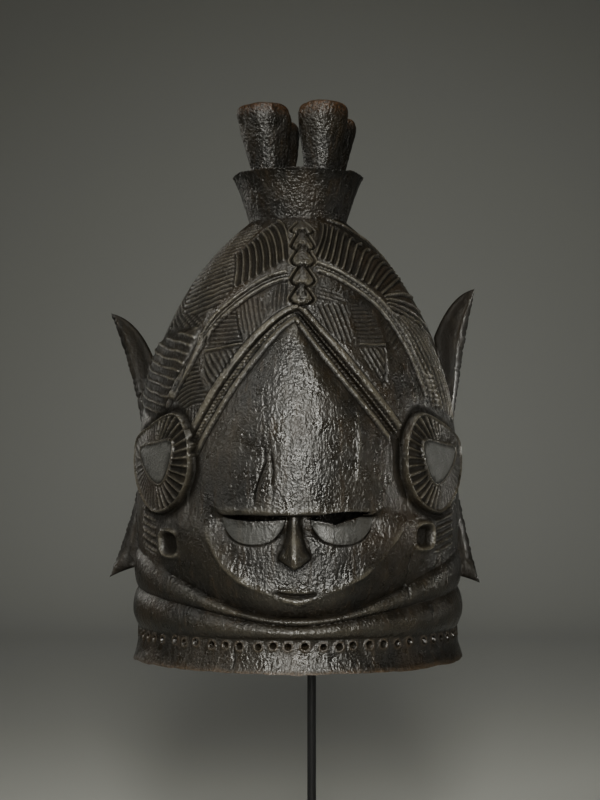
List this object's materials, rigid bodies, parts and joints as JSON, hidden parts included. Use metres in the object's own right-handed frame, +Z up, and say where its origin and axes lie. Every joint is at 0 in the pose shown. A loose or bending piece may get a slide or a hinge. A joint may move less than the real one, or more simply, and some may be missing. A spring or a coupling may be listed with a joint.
{
  "type": "helmet mask on a stand",
  "caption": "Carved wooden helmet mask with a calm lowered face, ridged coiffure, side crescents, collar and prongs, resting on a thin steel rod with a flat foot.",
  "frame": {"origin": "centre of the base plate's underside, under the rod", "axes": "+Z up; the mask's face looks along -Y; +X is to the right as a viewer sees the face"},
  "size_m": [0.271, 0.2577, 0.56],
  "materials": {
    "carved_wood": "dark polished patina, worn brown at the prong tops",
    "black_steel": "satin black"
  },
  "bodies": {
    "root": {"helmet_mask": "carved_wood", "display_rod": "black_steel", "base_plate": "black_steel"}
  },
  "joints": []
}
